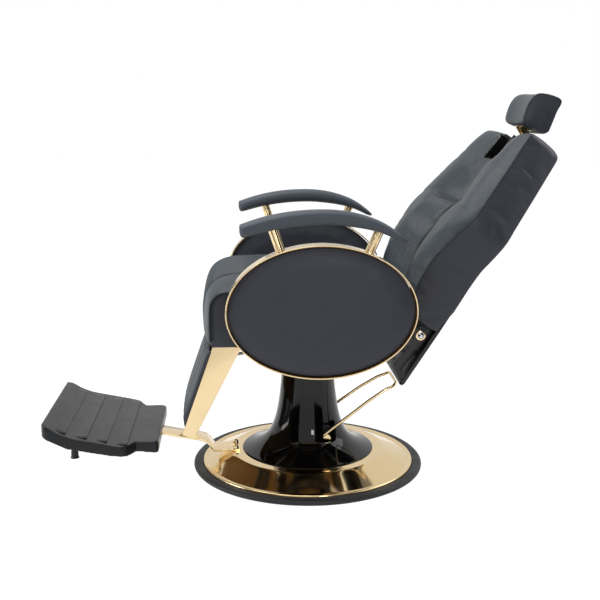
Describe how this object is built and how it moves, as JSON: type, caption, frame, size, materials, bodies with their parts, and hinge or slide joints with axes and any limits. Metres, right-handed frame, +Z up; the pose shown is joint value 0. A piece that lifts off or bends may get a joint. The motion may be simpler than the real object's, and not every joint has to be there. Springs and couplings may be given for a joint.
{
  "type": "hydraulic barber chair",
  "caption": "Reclining hydraulic barber chair: round pedestal, oval side panels with armrests, quilted seat and back, headrest, legrest and fixed footplate.",
  "frame": {"origin": "centre of the base on the floor", "axes": "+Z up, -Y the way the sitter faces, +X the sitter's left"},
  "size_m": [0.718, 1.4382, 1.0836],
  "materials": {
    "rim_rubber": "satin black rubber",
    "gold_plate": "polished gold-coloured plating",
    "chrome_steel": "polished chrome",
    "black_gloss": "gloss black paint",
    "cast": "dark grey cast iron",
    "steel": "ground steel",
    "frame_paint": "satin black paint",
    "black_plastic": "moulded black plastic, low sheen",
    "shell_plastic": "gloss black plastic",
    "plywood": "bare plywood",
    "vinyl": "dark charcoal leather-look vinyl with a fine grain",
    "arm_foam": "slate grey moulded soft plastic"
  },
  "bodies": {
    "base": {"base_rim": "rim_rubber", "base_dish": "gold_plate", "ballast_plate": "cast", "pump_body": "cast", "pump_bolts": "steel", "column_cover": "black_gloss", "cover_collar": "black_gloss", "ram_seal": "rim_rubber", "footrest_bar": "gold_plate", "bar_bolts": "gold_plate", "footplate": "black_plastic", "footplate_bolts": "steel", "stop_stud": "steel", "stop_foot": "rim_rubber"},
    "pedal": {"pedal": "gold_plate"},
    "pump_plunger": {"pump_plunger": "steel"},
    "ram": {"ram": "chrome_steel", "thrust_bearing": "steel"},
    "seat": {"swivel_plate": "cast", "swivel_bolts": "steel", "seat_frame": "frame_paint", "seat_board": "plywood", "seat_cushion": "vinyl", "left_panel_band": "gold_plate", "right_panel_band": "gold_plate", "left_panel_board": "plywood", "right_panel_board": "plywood", "left_panel_pad": "vinyl", "right_panel_pad": "vinyl", "left_panel_lining": "vinyl", "right_panel_lining": "vinyl", "panel_bolts": "steel", "left_arm_posts": "gold_plate", "right_arm_posts": "gold_plate", "left_armrest": "arm_foam", "right_armrest": "arm_foam", "hinge_plates": "gold_plate", "hinge_bolts": "chrome_steel", "legrest_bearings": "cast"},
    "recline_lever": {"recline_lever": "steel", "lever_grip": "rim_rubber"},
    "back": {"back_frame": "frame_paint", "back_board": "shell_plastic", "back_cushion": "vinyl", "notch_liner": "shell_plastic", "headrest_guide": "frame_paint"},
    "headrest_post": {"headrest_post": "gold_plate"},
    "headrest": {"headrest_bracket": "chrome_steel", "headrest_cushion": "vinyl"},
    "legrest": {"legrest_shaft": "steel", "left_legrest_plate": "gold_plate", "right_legrest_plate": "gold_plate", "calf_board": "plywood", "calf_cushion": "vinyl"},
    "legrest_link": {"legrest_link": "steel"},
    "gas_cylinder": {"gas_cylinder": "black_gloss"},
    "gas_rod": {"gas_rod": "chrome_steel"}
  },
  "joints": [
    {"name": "pedal_push", "type": "hinge", "parent": "base", "child": "pedal", "pos_m": [0, 0.048, 0.1], "axis": [-1, 0, 0], "range_deg": [0, 18], "stiffness_Nm_per_rad": 9, "springref_deg": -40.11},
    {"name": "plunger_stroke", "type": "slide", "parent": "base", "child": "pump_plunger", "axis": [0, 0, -1], "range_m": [0, 0.008]},
    {"name": "ram_lift", "type": "slide", "parent": "base", "child": "ram", "axis": [0, 0, 1], "range_m": [0, 0.15]},
    {"name": "seat_swivel", "type": "hinge", "parent": "ram", "child": "seat", "pos_m": [0, 0, 0.37], "axis": [0, 0, 1], "continuous": true},
    {"name": "back_recline", "type": "hinge", "parent": "seat", "child": "back", "pos_m": [0, 0.293, 0.435], "axis": [-1, 0, 0], "range_deg": [-22, 28]},
    {"name": "legrest_swing", "type": "hinge", "parent": "seat", "child": "legrest", "pos_m": [0, -0.266, 0.397], "axis": [-1, 0, 0], "range_deg": [-11.5, 14.5]},
    {"name": "link_pivot", "type": "hinge", "parent": "legrest", "child": "legrest_link", "pos_m": [-0.126, -0.266, 0.294], "axis": [-1, 0, 0], "range_deg": [-16, 12.6]},
    {"name": "strut_pivot", "type": "hinge", "parent": "seat", "child": "gas_cylinder", "pos_m": [0.112, -0.135, 0.35], "axis": [-1, 0, 0], "range_deg": [-2.6, 2.1]},
    {"name": "strut_slide", "type": "slide", "parent": "gas_cylinder", "child": "gas_rod", "axis": [0, 0.9967, 0.081], "range_m": [-0.0245, 0.0195]},
    {"name": "lever_pull", "type": "hinge", "parent": "seat", "child": "recline_lever", "pos_m": [-0.164, -0.16, 0.364], "axis": [1, 0, 0], "range_deg": [0, 18], "stiffness_Nm_per_rad": 2.5, "springref_deg": -34.38},
    {"name": "headrest_height", "type": "slide", "parent": "back", "child": "headrest_post", "axis": [0, 0.6018, 0.7986], "range_m": [-0.01, 0.08]},
    {"name": "headrest_tilt", "type": "hinge", "parent": "headrest_post", "child": "headrest", "pos_m": [0, 0.62899, 0.96064], "axis": [1, 0, 0], "range_deg": [-30, 12]}
  ],
  "couplings": [
    {"joint": "plunger_stroke", "follows": "pedal_push", "m_per_rad": 0.024},
    {"joint": "legrest_swing", "follows": "back_recline", "ratio": 0.5},
    {"joint": "link_pivot", "follows": "back_recline", "ratio": -0.554},
    {"joint": "strut_pivot", "follows": "back_recline", "ratio": -0.0811},
    {"joint": "strut_slide", "follows": "back_recline", "m_per_rad": -0.04903}
  ]
}
